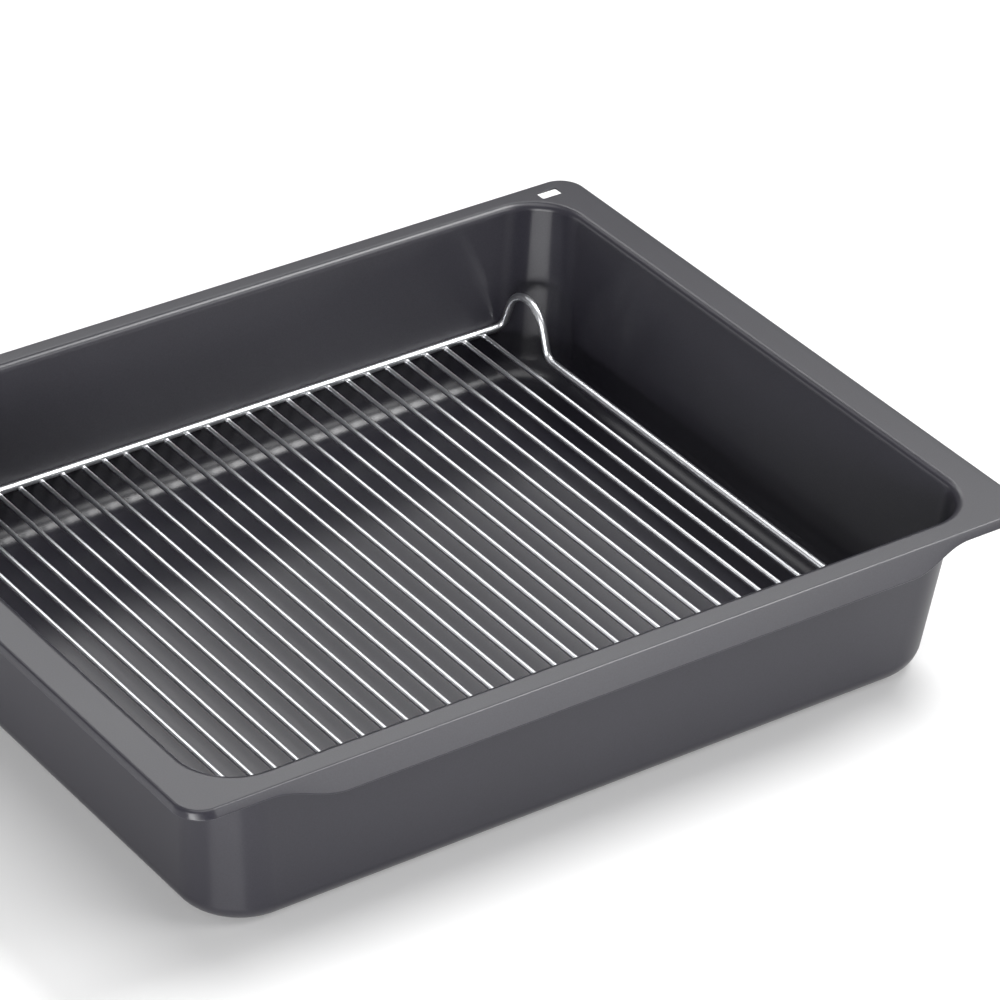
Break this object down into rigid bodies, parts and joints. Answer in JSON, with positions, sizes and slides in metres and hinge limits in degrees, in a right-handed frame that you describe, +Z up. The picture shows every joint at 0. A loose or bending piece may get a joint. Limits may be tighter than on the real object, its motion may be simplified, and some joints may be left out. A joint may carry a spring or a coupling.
{
  "type": "roasting pan with rack",
  "caption": "Deep enamelled roasting pan with a flat rim, a sloping front flange and slotted back corners, holding a chromed wire rack with lifting arches.",
  "frame": {"origin": "middle of the pan's flat base, on the plane that it stands on", "axes": "+X along the width to the right as seen from the front, +Z up, the front flange on the -Y side"},
  "size_m": [0.455, 0.375, 0.09],
  "materials": {
    "enamel": "satin",
    "chrome_wire": "polished"
  },
  "bodies": {
    "pan": {"pan_shell": "enamel"},
    "rack": {"rack_frame": "chrome_wire", "rack_wire_01": "chrome_wire", "rack_wire_02": "chrome_wire", "rack_wire_03": "chrome_wire", "rack_wire_04": "chrome_wire", "rack_wire_05": "chrome_wire", "rack_wire_06": "chrome_wire", "rack_wire_07": "chrome_wire", "rack_wire_08": "chrome_wire", "rack_wire_09": "chrome_wire", "rack_wire_10": "chrome_wire", "rack_wire_11": "chrome_wire", "rack_wire_12": "chrome_wire", "rack_wire_13": "chrome_wire", "rack_wire_14": "chrome_wire", "rack_wire_15": "chrome_wire", "rack_wire_16": "chrome_wire", "rack_wire_17": "chrome_wire", "rack_wire_18": "chrome_wire", "rack_wire_19": "chrome_wire", "rack_wire_20": "chrome_wire", "rack_wire_21": "chrome_wire", "rack_wire_22": "chrome_wire", "rack_wire_23": "chrome_wire", "rack_wire_24": "chrome_wire", "rack_wire_25": "chrome_wire", "rack_wire_26": "chrome_wire", "rack_wire_27": "chrome_wire", "rack_wire_28": "chrome_wire", "rack_wire_29": "chrome_wire"}
  },
  "joints": [
    {"name": "rack_lift", "type": "slide", "parent": "pan", "child": "rack", "axis": [0, 0, 1], "range_m": [0, 0.1]}
  ]
}
